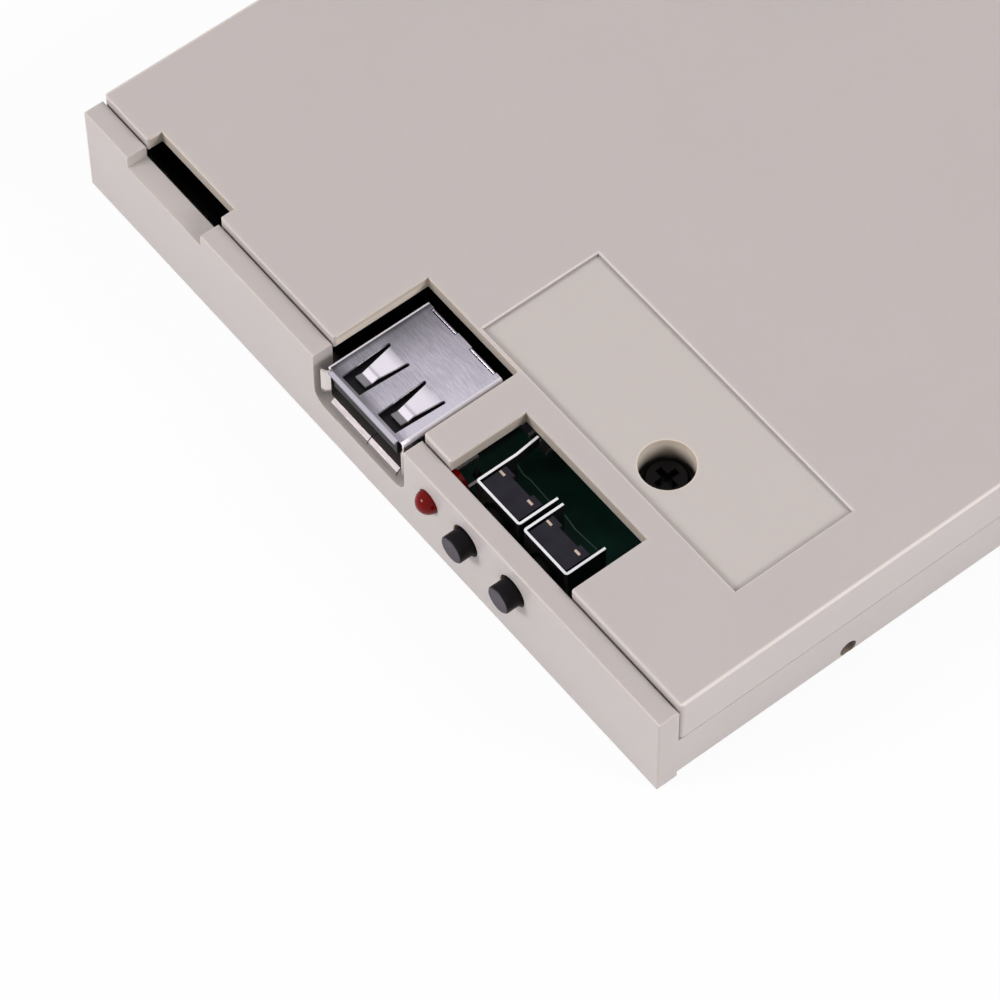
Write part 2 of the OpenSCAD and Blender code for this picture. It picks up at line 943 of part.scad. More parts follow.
module usb_lips() {
    half = usb_w / 2;
    along_x(-usb_lip_half, usb_lip_half)
        translate([0, usb_h])
            mirror([1, -1])
                top_lip_profile();
    for (p = [[-usb_lip_half, usb_seam_x - usb_seam / 2], [usb_seam_x + usb_seam / 2, usb_lip_half]])
        along_x(p[0], p[1])
            rotate(-90)
                lip_profile();
    for (s = [-1, 1])
        along_z(usb_side_z0 - usb_z, usb_side_z1 - usb_z)
            translate([s * half, 0])
                mirror([s < 0 ? 1 : 0, 0])
                    lip_profile();
}

module usb_tube() {
    tab_mid = (tab_x0 + tab_x1) / 2;
    tab_half = (tab_x1 - tab_x0) / 2;
    difference() {
        along_y(usb_y0, usb_y1)
            translate([0, usb_h / 2])
                rounded(usb_w, usb_h, usb_r);
        along_y(usb_y0 - over, usb_y1 - usb_t)
            translate([0, usb_h / 2])
                rounded(usb_w - 2 * usb_t, usb_h - 2 * usb_t, usb_r - usb_t);
        finger_windows();
        for (s = [-1, 1])
            slab(s * tab_mid - tab_half, s * tab_mid + tab_half, usb_y1 - usb_t - tab_gap, usb_y1 + over,
                usb_h - usb_t - eps, usb_h + over);
        slab(-usb_w, usb_w, usb_y1 - usb_t - eps, usb_y1 + over, -over, back_low);
        slab(usb_seam_x - usb_seam / 2, usb_seam_x + usb_seam / 2, -over, usb_y1 + over, -over,
            usb_t + eps);
        slab(-usb_lip_half, usb_lip_half, usb_foot_y, usb_y1 + over, -over, usb_t + eps);
    }
    for (s = [-1, 1])
        x_rod(s * tab_mid - tab_half + bead_r, s * tab_mid + tab_half - bead_r, usb_y1 - bead_r,
            usb_h - usb_t + bead_r / 2, bead_r);
}

module usb_legs() {
    for (s = [-1, 1]) {
        x0 = s * (usb_w - usb_t) / 2 - usb_t / 2;
        slab(x0, x0 + usb_t, leg_y - shoulder_w / 2, leg_y + shoulder_w / 2, board_top - usb_z,
            usb_r + usb_t);
        slab(x0, x0 + usb_t, leg_y - leg_w / 2, leg_y + leg_w / 2, tail_z - usb_z, 0);
    }
}

module usb_shell() {
    color(steel_col)
        placed()
            translate([usb_x, 0, usb_z]) {
                usb_tube();
                fingers();
                usb_lips();
                usb_legs();
            }
}

module usb_insulator() {
    z1 = usb_top - usb_tongue_drop;
    gap = usb_t + fit_gap / 2;
    color(black_col)
        placed()
            translate([usb_x, 0, 0])
                difference() {
                    union() {
                        slab(-tongue_w / 2, tongue_w / 2, usb_tongue_y, usb_block_y + eps,
                            z1 - usb_tongue_t, z1);
                        slab(-usb_w / 2 + gap, usb_w / 2 - gap, usb_block_y, usb_y1 - gap,
                            usb_z + usb_r, usb_top - usb_r);
                        slab(-tongue_w / 2, tongue_w / 2, usb_block_y, usb_y1 - gap, usb_z + gap,
                            usb_top - gap);
                        slab(-tongue_w / 2, tongue_w / 2, usb_foot_y + fit_gap, usb_y1 - gap, board_top,
                            usb_z + usb_r);
                    }
                    for (x = contact_xs) {
                        slab(x - contact_w / 2, x + contact_w / 2, contact_y0, contact_y + contact_t / 2,
                            z1 - usb_tongue_t - over, z1 - usb_tongue_t + contact_t);
                        slab(x - contact_w / 2, x + contact_w / 2, usb_block_y - over,
                            contact_y + contact_t / 2, z1 - usb_tongue_t - eps,
                            z1 - usb_tongue_t + contact_t);
                        slab(x - contact_w / 2, x + contact_w / 2, contact_y - contact_t / 2,
                            contact_y + contact_t / 2, board_z, z1 - usb_tongue_t + contact_t);
                    }
                }
}

module usb_contacts() {
    z1 = usb_top - usb_tongue_drop - usb_tongue_t + contact_t;
    color(gold_col)
        placed()
            translate([usb_x, 0, 0])
                for (x = contact_xs) {
                    slab(x - contact_w / 2, x + contact_w / 2, contact_y0, contact_y + contact_t / 2,
                        z1 - contact_t, z1);
                    slab(x - contact_w / 2, x + contact_w / 2, contact_y - contact_t / 2,
                        contact_y + contact_t / 2, tail_z, z1);
                }
}

module indicator_lens() {
    tip = led_r - led_reach;
    color(red_col)
        placed() {
            translate([led_x, tip, axis_z])
                sphere(r = led_r);
            y_rod(led_x, tip, led_base, axis_z, led_r);
            y_rod(led_x, led_base - led_flange_t, led_base, axis_z, led_flange_r);
        }
}

module indicator_leads() {
    color(steel_col)
        placed()
            for (s = [-1, 1])
                translate([led_x + s * lead_half, 0, 0]) {
                    slab(-lead_w / 2, lead_w / 2, led_base, lead_y + lead_w / 2, axis_z - lead_w / 2,
                        axis_z + lead_w / 2);
                    slab(-lead_w / 2, lead_w / 2, lead_y - lead_w / 2, lead_y + lead_w / 2, tail_z, axis_z);
                }
}

// plan of the folded switch frame, open to the rear
module frame_plan() {
    depth = sw_y1 + sw_bend - sw_y;
    difference() {
        translate([0, sw_y + depth / 2])
            rounded(sw_w, depth, sw_bend);
        translate([0, sw_y + sw_t + depth / 2])
            rounded(sw_w - 2 * sw_t, depth, sw_bend - sw_t);
        translate([0, sw_y1 + depth / 2])
            square([sw_w + over, depth], center = true);
    }
}

module switch_frame(x) {
    translate([x, 0, 0]) {
        difference() {
            along_z(sw_low, sw_top)
                frame_plan();
            y_rod(0, sw_y - over, sw_y + over, axis_z, sw_hole_r);
            slab(-sw_w, sw_w, sw_y + sw_bend, sw_y1 + over, sw_low - over, sw_flange_z);
        }
        for (s = [-1, 1])
            translate([s * (sw_w - sw_t) / 2, 0, 0])
                slab(-sw_t / 2, sw_t / 2, sw_leg_y, sw_leg_y + sw_leg_w, tail_z, sw_flange_z + eps);
    }
}

module switch_frame_left() {
    color(steel_col)
        placed() {
            switch_frame(button_x);
            translate([button_x - (sw_w - sw_t) / 2, sw_y1, 0])
                rotate([0, 0, tail_turn])
                    slab(-sw_t / 2, sw_t / 2, -sw_t / 2, tail_len, sw_top - tail_h, sw_top);
        }
}

module switch_frame_right() {
    color(steel_col)
        placed()
            switch_frame(button_x + button_pitch);
}

module switch_body(x) {
    nose_y = body_y + nose_t;
    translate([x, 0, 0])
        difference() {
            union() {
                slab(-body_half, body_half, body_y, body_y1, body_low, body_top);
                for (s = [-1, 1])
                    translate([s * (body_half - over), body_y1 - over, board_top])
                        cylinder(r = over - fit_gap, h = body_low - board_top + eps);
            }
            y_rod(0, body_y - over, nose_y + eps, axis_z, button_r + run_gap);
            y_rod(0, nose_y, cavity_y1, axis_z, cavity_r);
            for (s = [-1, 1])
                translate([strip_off + s * strip_x, strip_y, 0])
                    slab(-strip_w / 2 - strip_gap, strip_w / 2 + strip_gap, -strip_t / 2 - strip_gap,
                        strip_t / 2 + strip_gap, board_top, body_top + over);
            slab(-body_half / 2, body_half / 2, body_y1 - bite_t, body_y1 + over, body_top - over,
                body_top + over);
        }
}

module switch_body_left() {
    color(black_col)
        placed()
            switch_body(button_x);
}

module switch_body_right() {
    color(black_col)
        placed()
            switch_body(button_x + button_pitch);
}

module switch_strips(x) {
    for (s = [-1, 1])
        translate([x + strip_off + s * strip_x, strip_y, 0])
            slab(-strip_w / 2, strip_w / 2, -strip_t / 2, strip_t / 2, tail_z, body_top + strip_up);
}

module switch_strips_left() {
    color(copper_col)
        placed()
            switch_strips(button_x);
}

module switch_strips_right() {
    color(copper_col)
        placed()
            switch_strips(button_x + button_pitch);
}

// thin snap disc behind the plunger, turned about the button's axis
module switch_dome(x) {
    translate([x, dome_y1 - dome_rise, axis_z])
        rotate([-90, 0, 0])
            rotate_extrude()
                polygon([[0, 0], [dome_flat, 0], [dome_r, dome_rise - dome_t], [dome_r, dome_rise],
                    [dome_flat, dome_t], [0, dome_t]]);
}

module switch_dome_left() {
    color(steel_col)
        placed()
            switch_dome(button_x);
}

module switch_dome_right() {
    color(steel_col)
        placed()
            switch_dome(button_x + button_pitch);
}

// plunger turned about its axis, tip at the front
module button(x) {
    back = body_y + nose_t + play;
    translate([x, 0, axis_z])
        rotate([-90, 0, 0])
            rotate_extrude()
                polygon([[0, -button_reach], [button_r - chamfer, -button_reach],
                    [button_r, -button_reach + chamfer], [button_r, back], [flange_r, back],
                    [flange_r, back + flange_t], [0, back + flange_t]]);
}

module button_left() {
    color(black_col)
        placed()
            button(button_x);
}

module button_right() {
    color(black_col)
        placed()
            button(button_x + button_pitch);
}

module controller_chip() {
    z0 = board_top + chip_lift;
    color(black_col)
        placed()
            translate([chip_x, chip_y, 0])
                difference() {
                    slab(-chip_w / 2, chip_w / 2, -chip_w / 2, chip_w / 2, z0, z0 + chip_h);
                    translate([-chip_w / 2 + over + chip_dot_r, chip_w / 2 - over - chip_dot_r,
                        z0 + chip_h - chip_dot_t])
                        cylinder(r = chip_dot_r, h = over);
                }
}

module controller_leads() {
    edge = chip_w / 2;
    color(steel_col)
        placed()
            translate([chip_x, chip_y, board_top])
                for (q = [0:3])
                    rotate([0, 0, q * 90])
                        for (i = [0:chip_leads - 1])
                            translate([(i - (chip_leads - 1) / 2) * chip_pitch, 0, 0]) {
                                slab(-chip_lead_w / 2, chip_lead_w / 2, edge, edge + chip_lead_l / 2,
                                    chip_h / 2, chip_h / 2 + chip_lead_t);
                                slab(-chip_lead_w / 2, chip_lead_w / 2, edge + chip_lead_l / 2 - chip_lead_t,
                                    edge + chip_lead_l / 2, 0, chip_h / 2 + eps);
                                slab(-chip_lead_w / 2, chip_lead_w / 2,
                                    edge + chip_lead_l / 2 - chip_lead_t, edge + chip_lead_l, 0,
                                    chip_lead_t);
                            }
}

module crystal_can() {
    color(steel_col)
        placed()
            translate([can_x, can_y, board_top]) {
                along_z(0, can_rim_h)
                    rounded(can_l + 2 * can_rim, can_w + 2 * can_rim, can_w / 2 + can_rim - eps);
                along_z(can_rim_h - eps, can_h)
                    rounded(can_l, can_w, can_w / 2 - eps);
            }
}

module regulator_chip() {
    color(black_col)
        placed()
            translate([reg_x, reg_y, board_top])
                slab(-reg_w / 2, reg_w / 2, -reg_d / 2, reg_d / 2, chip_lift, reg_h);
}

module regulator_leads() {
    step_z = reg_h / 2;
    color(steel_col)
        placed()
            translate([reg_x, reg_y, board_top])
                for (p = [[-reg_pitch, -1, reg_lead_w], [0, -1, reg_lead_w], [reg_pitch, -1, reg_lead_w],
                    [0, 1, reg_tab_w]])
                    translate([p[0], 0, 0])
                        mirror([0, p[1] < 0 ? 1 : 0, 0]) {
                            slab(-p[2] / 2, p[2] / 2, reg_d / 2, reg_d / 2 + reg_lead_l / 2, step_z,
                                step_z + reg_lead_t);
                            slab(-p[2] / 2, p[2] / 2, reg_d / 2 + reg_lead_l / 2 - reg_lead_t,
                                reg_d / 2 + reg_lead_l / 2, 0, step_z + eps);
                            slab(-p[2] / 2, p[2] / 2, reg_d / 2 + reg_lead_l / 2 - reg_lead_t,
                                reg_d / 2 + reg_lead_l, 0, reg_lead_t);
                        }
}

module capacitor_cans() {
    color(steel_col)
        placed()
            for (p = caps)
                translate([p[0], p[1], board_top + cap_base_h])
                    cylinder(r = cap_r, h = cap_h - cap_base_h);
}

module capacitor_bases() {
    half = cap_base_w / 2;
    color(black_col)
        placed()
            for (p = caps)
                translate([p[0], p[1], 0])
                    along_z(board_top, board_top + cap_base_h)
                        polygon([[-half, -half], [half - cap_cut, -half], [half, -half + cap_cut],
                            [half, half - cap_cut], [half - cap_cut, half], [-half, half]]);
}

module chip_resistors() {
    color(black_col)
        placed()
            for (p = res_spots)
                translate([p[0], p[1], board_top])
                    slab(-res_l / 2 + res_end, res_l / 2 - res_end, -res_w / 2, res_w / 2, 0, res_h);
}

module chip_capacitors() {
    color(tan_col)
        placed()
            for (p = mlc_spots)
                translate([p[0], p[1], board_top])
                    slab(-res_l / 2 + res_end, res_l / 2 - res_end, -res_w / 2, res_w / 2, 0, mlc_h);
}

module chip_ends() {
    color(steel_col)
        placed()
            for (s = [-1, 1]) {
                for (p = res_spots)
                    translate([p[0] + s * (res_l - res_end) / 2, p[1], board_top])
                        slab(-res_end / 2, res_end / 2, -res_w / 2, res_w / 2, 0, res_h);
                for (p = mlc_spots)
                    translate([p[0] + s * (res_l - res_end) / 2, p[1], board_top])
                        slab(-res_end / 2, res_end / 2, -res_w / 2, res_w / 2, 0, mlc_h);
            }
}

// pan-head screw with a cross recess, seat of the head at z = 0
module pan_screw(head, high, shank, long) {
    difference() {
        rotate_extrude()
            polygon([[0, -long], [point_r, -long], [shank, -long + point_h], [shank, 0], [head, 0],
                [head, high / 2], [head - head_ease, high], [0, high]]);
        for (a = [0, 90])
            rotate([0, 0, a])
                slab(-cross_l / 2, cross_l / 2, -cross_w / 2, cross_w / 2, high - cross_t, high + over);
    }
}

module cover_screw() {
    color(black_col)
        placed()
            translate([screw_x, screw_y, tube_shoulder])
                pan_screw(head_r, head_h, shank_r, tube_shoulder - under_z - bore_floor - fit_gap);
}

module board_screws() {
    color(steel_col)
        placed()
            for (p = posts)
                translate([p[0], p[1], board_top])
                    pan_screw(board_head_r, board_head_h, board_shank_r,
                        board_top - under_z - bore_floor - fit_gap);
}

lower_tray();
top_cover();
circuit_board();
usb_shell();
usb_insulator();
usb_contacts();
indicator_lens();
indicator_leads();
switch_body_left();
switch_body_right();
switch_frame_left();
switch_frame_right();
switch_strips_left();
switch_strips_right();
switch_dome_left();
switch_dome_right();
button_left();
button_right();
data_header();
data_pins();
power_header();
power_pins();
select_header();
select_pins();
jumper_caps();
controller_chip();
controller_leads();
crystal_can();
regulator_chip();
regulator_leads();
capacitor_cans();
capacitor_bases();
chip_resistors();
chip_capacitors();
chip_ends();
cover_screw();
board_screws();
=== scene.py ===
from math import cos, radians, sin

import bpy
from mathutils import Matrix, Vector

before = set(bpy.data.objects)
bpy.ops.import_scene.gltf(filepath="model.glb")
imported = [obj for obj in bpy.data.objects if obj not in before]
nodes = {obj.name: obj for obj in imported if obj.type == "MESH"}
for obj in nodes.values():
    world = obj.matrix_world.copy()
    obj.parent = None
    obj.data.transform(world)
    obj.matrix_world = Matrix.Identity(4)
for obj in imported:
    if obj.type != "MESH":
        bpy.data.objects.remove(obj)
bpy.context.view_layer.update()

MM = 0.001

# Places in the drive, in mm: X across from its middle, Y back from the bezel's face, Z up from the bezel's foot.
FACE_IN_FRAME = -61.9
BEZEL_TOP = 13.3
COVER_TOP = 14.3
SHELL_TOP = 12.7
FRAME_TOP = 12.4
BUTTON_END = -2.2
SCREW_HOLE = (26.46, 20.76)
SCREW_HOLE_REACH = (3.4, 3.3)
SIDE_BORES = ((26.15, 2.0), (96.15, 2.0))
SIDE_BORE_REACH = (1.25, 1.18)
LABEL_FLOOR = ((0.55, 43.35), (16.15, 32.25))
LABEL_EDGE = ((0.3, 43.6), (15.85, 32.55))
BESIDE_SHELL = (-9.55, -7.95)
SHELL_FLAT = (-6.35, 5.75)
# The board is painted near black up to this X, as painted shade.
BOARD_SHADED_TO = 8.5

# The printed outlines of the two switches on the board, left to right, as X and Y.
PRINT = (((11.15, 11.75), (13.73, 11.33), (14.7, 11.48), (18.13, 11.38)),
         ((19.5, 11.6), (21.12, 11.52), (22.64, 11.32), (26.15, 11.53)))

# Colours of the case, its sunk label field, the painted shade on the walls of its notches and the painted highlight
# on their crests, and the metals.
CASE = (0.5, 0.469, 0.421)
FIELD = (0.528, 0.5, 0.438)
SHADED_WALL = (0.445, 0.402, 0.322)
CREST_HIGHLIGHT = (0.75, 0.69, 0.585)
NICKEL = (0.74, 0.692, 0.795)
MATT_NICKEL = (0.96, 0.93, 0.96)
LIP = (0.7, 0.645, 0.615)
STEEL = (0.84, 0.855, 0.825)
BLACK = (0.0, 0.0, 0.0)

# The studio light is a little violet, which the metal shows most.
LIGHT = (1.0, 0.955, 1.045)
LAMP_SIZE = 0.32
LAMP_TARGET = (0, -0.03, 0.01)

# The camera's turn, tilt and roll in degrees, what it aims at, how far it stands right, up and back of that in mm,
# and its lens.
CAMERA_ANGLES = (52.1323, 57.2036, -0.5616)
CAMERA_AIM = (0, FACE_IN_FRAME + 20, BEZEL_TOP)
CAMERA_OFFSET = (-0.8282, -20.4595, 584.967)
CAMERA_LENS = 193.5067


# Parts of materials

def start_material(name):
    material = bpy.data.materials.new(name)
    material.use_nodes = True
    tree = material.node_tree
    return material, tree, tree.nodes["Principled BSDF"]


def add(tree, kind, **values):
    node = tree.nodes.new(kind)
    for key, value in values.items():
        setattr(node, key, value)
    return node


def object_coordinates(tree):
    return add(tree, "ShaderNodeTexCoord").outputs["Object"]


def measured(tree, place):
    """The X, Y and Z of a place in the drive, in mm."""
    node = add(tree, "ShaderNodeMapping")
    node.inputs["Location"].default_value = (0, -FACE_IN_FRAME, 0)
    node.inputs["Scale"].default_value = (1 / MM, 1 / MM, 1 / MM)
    tree.links.new(place, node.inputs["Vector"])
    parts = add(tree, "ShaderNodeSeparateXYZ")
    tree.links.new(node.outputs["Vector"], parts.inputs["Vector"])
    return [parts.outputs[axis] for axis in "XYZ"]


def stretched(tree, place, scale):
    node = add(tree, "ShaderNodeMapping")
    node.inputs["Scale"].default_value = scale
    tree.links.new(place, node.inputs["Vector"])
    return node.outputs["Vector"]


def noise(tree, place, scale, detail=3.0, roughness=0.5):
    node = add(tree, "ShaderNodeTexNoise")
    node.inputs["Scale"].default_value = scale
    node.inputs["Detail"].default_value = detail
    node.inputs["Roughness"].default_value = roughness
    tree.links.new(place, node.inputs["Vector"])
    return node.outputs["Fac"]


def grain(tree, shader, place, scale, strength, distance):
    """A fine unevenness of the surface."""
    bump(tree, shader, noise(tree, place, scale, 4.0, 0.6), strength, distance)


def bump(tree, shader, height, strength, distance):
    node = add(tree, "ShaderNodeBump")
    node.inputs["Strength"].default_value = strength
    node.inputs["Distance"].default_value = distance
    tree.links.new(height, node.inputs["Height"])
    tree.links.new(node.outputs["Normal"], shader.inputs["Normal"])


def shade(colour, factor):
    return tuple(c * factor for c in colour)


def ramp(tree, fac, first, last):
    """A colour that goes from the first to the last, each given as a position and a colour."""
    node = add(tree, "ShaderNodeValToRGB")
    for element, (position, colour) in zip(node.color_ramp.elements, (first, last)):
        element.position, element.color = position, (*colour, 1)
    tree.links.new(fac, node.inputs["Fac"])
    return node.outputs["Color"]


def clouded(tree, cloud, low, high):
    """A colour that follows a cloudy noise from low to high."""
    return ramp(tree, cloud, (0.3, low), (0.7, high))


def rise(tree, value, start, end, low=0.0, high=1.0):
    """Goes from low to high while the value goes from start to end."""
    node = add(tree, "ShaderNodeMapRange")
    for key, number in (("From Min", start), ("From Max", end), ("To Min", low), ("To Max", high)):
        node.inputs[key].default_value = number
    tree.links.new(value, node.inputs["Value"])
    return node.outputs["Result"]


def within(tree, value, limits, soft=0.05):
    """One between the limits and nought beyond them, with soft edges."""
    low, high = limits
    return combine(tree, "MULTIPLY", rise(tree, value, low - soft, low + soft),
                   rise(tree, value, high + soft, high - soft))


def combine(tree, operation, *values):
    result = values[0]
    for value in values[1:]:
        node = add(tree, "ShaderNodeMath", operation=operation)
        for socket, entry in zip(node.inputs, (result, value)):
            if isinstance(entry, (int, float)):
                socket.default_value = entry
            else:
                tree.links.new(entry, socket)
        result = node.outputs["Value"]
    return result


def product(tree, *values):
    return combine(tree, "MULTIPLY", *values)


def largest(tree, *values):
    return combine(tree, "MAXIMUM", *values)


def size_of(tree, value):
    return combine(tree, "ABSOLUTE", value, 0.0)


def off_axis(tree, first, second, centre):
    """How far a place is from the axis of a round hole."""
    offsets = [combine(tree, "SUBTRACT", value, middle) for value, middle in zip((first, second), centre)]
    squares = combine(tree, "ADD", *(product(tree, offset, offset) for offset in offsets))
    return combine(tree, "POWER", squares, 0.5)


def mixed(tree, fac, first, second):
    node = add(tree, "ShaderNodeMix", data_type="RGBA")
    tree.links.new(fac, node.inputs["Factor"])
    for socket, entry in zip((node.inputs[6], node.inputs[7]), (first, second)):
        if isinstance(entry, tuple):
            socket.default_value = (*entry, 1)
        else:
            tree.links.new(entry, socket)
    return node.outputs[2]


# Materials

def grained(name, colour, low, high, scale, rough, grain_scale, grain_height, metal=0.0, gloss=0.5):
    """A finish with cloudy colour, uneven gloss and a fine grain."""
    material, tree, shader = start_material(name)
    place = object_coordinates(tree)
    cloud = noise(tree, place, scale)
    tree.links.new(clouded(tree, cloud, shade(colour, low), shade(colour, high)), shader.inputs["Base Color"])
    tree.links.new(rise(tree, noise(tree, place, scale * 3.1), 0.0, 1.0, rough - 0.06, rough + 0.06),
                   shader.inputs["Roughness"])
    shader.inputs["Metallic"].default_value = metal
    shader.inputs["Specular IOR Level"].default_value = gloss
    grain(tree, shader, place, grain_scale, 0.25, grain_height)
    return material


def make_case_plastic(name, base):
    """Moulded plastic with a fine grain, lighter in the sunk label field, with painted highlights along edges and
    painted shade on the notch walls and down the holes.
    """
    material, tree, shader = start_material(name)
    place = object_coordinates(tree)
    x, y, z = measured(tree, place)
    out = size_of(tree, x)
    below = combine(tree, "SUBTRACT", COVER_TOP, z)

    field = product(tree, *(within(tree, value, limits) for value, limits in zip((x, y), LABEL_FLOOR)),
                    within(tree, below, (0.35, 0.65)))
    around = product(tree, *(within(tree, value, limits) for value, limits in zip((x, y), LABEL_EDGE)))
    # Painted highlights on the label field's brink and along the outer top edges, and painted shade on the field's
    # step.
    brink_highlight = product(tree, around, rise(tree, below, 0.12, 0.08))
    step_shade = product(tree, around, rise(tree, below, 0.08, 0.12), rise(tree, below, 0.49, 0.47))
    rim_highlight = product(tree, rise(tree, out, 50.42, 50.5), rise(tree, below, 0.36, 0.28))

    # Painted shade on the notch walls that turns to a painted highlight on their crests, and painted bounced light
    # on the wall beside the shell.
    wall = product(tree, rise(tree, out, 46.0, 45.9), rise(tree, y, 3.0, 3.1), rise(tree, y, 15.95, 15.9),
                   rise(tree, below, 0.02, 0.06), rise(tree, below, 2.1, 2.0))
    graded_tone = ramp(tree, rise(tree, below, 0.5, 0.2), (0.0, SHADED_WALL), (1.0, CREST_HIGHLIGHT))
    bounce_by_shell = product(tree, wall, within(tree, x, BESIDE_SHELL), rise(tree, below, 0.3, 1.0))

    # Painted shade in the side bores and, deepening with depth, down the screw hole.
    side_bores = [rise(tree, off_axis(tree, y, z, centre), *SIDE_BORE_REACH) for centre in SIDE_BORES]
    pit_shade = product(tree, largest(tree, *side_bores), rise(tree, out, 50.76, 50.7))
    bore = product(tree, rise(tree, below, 0.04, 0.1),
                   rise(tree, off_axis(tree, x, y, SCREW_HOLE), *SCREW_HOLE_REACH))
    deep = ramp(tree, rise(tree, below, 4.0, 1.5), (0.0, shade(SHADED_WALL, 0.08)), (1.0, shade(SHADED_WALL, 1.4)))

    colour = clouded(tree, noise(tree, place, 60), shade(base, 0.988), shade(base, 1.012))
    for mask, tint in ((field, FIELD), (brink_highlight, shade(base, 1.1)), (step_shade, shade(base, 0.66)),
                       (rim_highlight, shade(base, 1.25)), (wall, graded_tone), (bounce_by_shell, shade(SHADED_WALL, 1.6)),
                       (pit_shade, shade(SHADED_WALL, 0.55)), (bore, deep)):
        colour = mixed(tree, mask, colour, tint)
    tree.links.new(colour, shader.inputs["Base Color"])
    tree.links.new(rise(tree, noise(tree, place, 190), 0.0, 1.0, 0.38, 0.48), shader.inputs["Roughness"])
    shader.inputs["Subsurface Weight"].default_value = 0.4
    shader.inputs["Subsurface Radius"].default_value = (1.0, 0.8, 0.5)
    shader.inputs["Subsurface Scale"].default_value = 1.2 * MM
    grain(tree, shader, place, 2600, 0.25, 0.04 * MM)
    return material


def make_nickel_plate():
    """Sheet metal brushed from side to side on top, with a painted reflection across the top and painted shade by
    its bends, and with matt cuts and fingers.
    """
    material, tree, shader = start_material("nickel_plate")
    place = object_coordinates(tree)
    x, y, z = measured(tree, place)
    below = combine(tree, "SUBTRACT", SHELL_TOP, z)
    brushed = noise(tree, stretched(tree, place, (700, 6500, 6500)), 1.0, 3.0, 0.6)
    cloud = noise(tree, place, 130, 2.0)

    # The brushed top holds a painted reflection, brighter from left to right, and painted shade by its left bend,
    # its mouth and its rear edge.
    reflection_drift = combine(tree, "ADD", rise(tree, x, -6.9, 6.0, 0.33, 1.12), rise(tree, cloud, 0.3, 0.7, -0.1, 0.1))
    left = largest(tree, rise(tree, x, -6.6, -6.5, 1.0, 0.45), rise(tree, x, -6.35, -5.9, 0.45, 1.0))
    mouth = rise(tree, y, 0.9, 2.3, 0.5, 1.0)
    rear = rise(tree, y, 9.0, 14.0, 1.0, 0.78)
    streak = rise(tree, brushed, 0.3, 0.7, 0.82, 1.16)
    top = ramp(tree, product(tree, reflection_drift, left, mouth, rear, streak), (0.0, BLACK), (1.0, NICKEL))
    flat = product(tree, rise(tree, below, 0.2, 0.15), rise(tree, below, -0.03, -0.01))
    bends = ramp(tree, left, (0.0, BLACK), (1.0, shade(NICKEL, 0.9)))

    # The fingers are matt from crease to toe and turn into the top at their roots. The two long bends are matt too,
    # painted pale as a painted highlight, the left one dimmer; painted shade darkens the crease and the toes.
    sunk = product(tree, within(tree, x, SHELL_FLAT), rise(tree, y, 0.9, 0.94), rise(tree, y, 7.9, 6.3),
                   rise(tree, below, 0.02, 0.04), rise(tree, below, 1.2, 1.1))
    right_bend, left_bend = rise(tree, x, 5.86, 5.92), rise(tree, x, -6.5, -6.56)
    side = product(tree, rise(tree, below, 0.7, 0.5), largest(tree, left_bend, right_bend))
    dull = largest(tree, sunk, side)
    crease = largest(tree, rise(tree, y, 4.0, 4.1, 1.0, 0.6), rise(tree, y, 4.1, 4.5, 0.6, 1.0))
    toe = product(tree, crease, rise(tree, y, 3.15, 3.25, 0.22, 0.78))
    level = largest(tree, toe, right_bend, product(tree, left_bend, 0.82))
    matt = ramp(tree, product(tree, level, rise(tree, cloud, 0.3, 0.7, 0.96, 1.0)),
                (0.0, BLACK), (1.0, MATT_NICKEL))

    # The flared lips at the mouth are warmer, and the lower one is painted darker, as painted shade.
    lip = rise(tree, z, 8.4, 8.0)
    flap = product(tree, rise(tree, y, 1.0, 0.9), rise(tree, z, 12.3, 12.2))

    metal = mixed(tree, lip, mixed(tree, flap, mixed(tree, flat, bends, top), LIP), shade(LIP, 0.33))
    tree.links.new(mixed(tree, dull, metal, matt), shader.inputs["Base Color"])
    polish = rise(tree, brushed, 0.3, 0.7, 0.2, 0.3)
    rough = largest(tree, dull, product(tree, lip, 0.7))
    tree.links.new(combine(tree, "ADD", polish, product(tree, rough, 0.3)), shader.inputs["Roughness"])
    tree.links.new(rise(tree, dull, 0.0, 1.0, 1.0, 0.3), shader.inputs["Metallic"])
    bump(tree, shader, brushed, 0.2, 0.01 * MM)
    return material


def make_frame_steel():
    """Bright along the top, where the sheet was sheared and a painted highlight adds to it, and darker on its faces
    as painted shade.
    """
    material, tree, shader = start_material("frame_steel")
    place = object_coordinates(tree)
    z = measured(tree, place)[2]
    cut = rise(tree, z, FRAME_TOP - 0.08, FRAME_TOP - 0.03)
    bright = clouded(tree, noise(tree, place, 500), shade(STEEL, 0.9), STEEL)
    tree.links.new(mixed(tree, cut, shade(STEEL, 0.22), bright), shader.inputs["Base Color"])
    tree.links.new(rise(tree, cut, 0.0, 1.0, 0.3, 0.55), shader.inputs["Roughness"])
    tree.links.new(rise(tree, cut, 0.0, 1.0, 1.0, 0.25), shader.inputs["Metallic"])
    grain(tree, shader, place, 2500, 0.2, 0.01 * MM)
    return material


def make_button_plastic():
    """Black, with the end grey and matt from wear."""
    material, tree, shader = start_material("button_plastic")
    place = object_coordinates(tree)
    y = measured(tree, place)[1]
    end = rise(tree, y, BUTTON_END + 0.06, BUTTON_END + 0.03)
    graded_tone = clouded(tree, noise(tree, place, 900), (0.077, 0.07, 0.077), (0.096, 0.087, 0.095))
    tree.links.new(mixed(tree, end, (0.007, 0.0062, 0.007), graded_tone), shader.inputs["Base Color"])
    tree.links.new(rise(tree, end, 0.0, 1.0, 0.42, 0.65), shader.inputs["Roughness"])
    shader.inputs["Specular IOR Level"].default_value = 0.1
    grain(tree, shader, place, 3500, 0.25, 0.02 * MM)
    return material


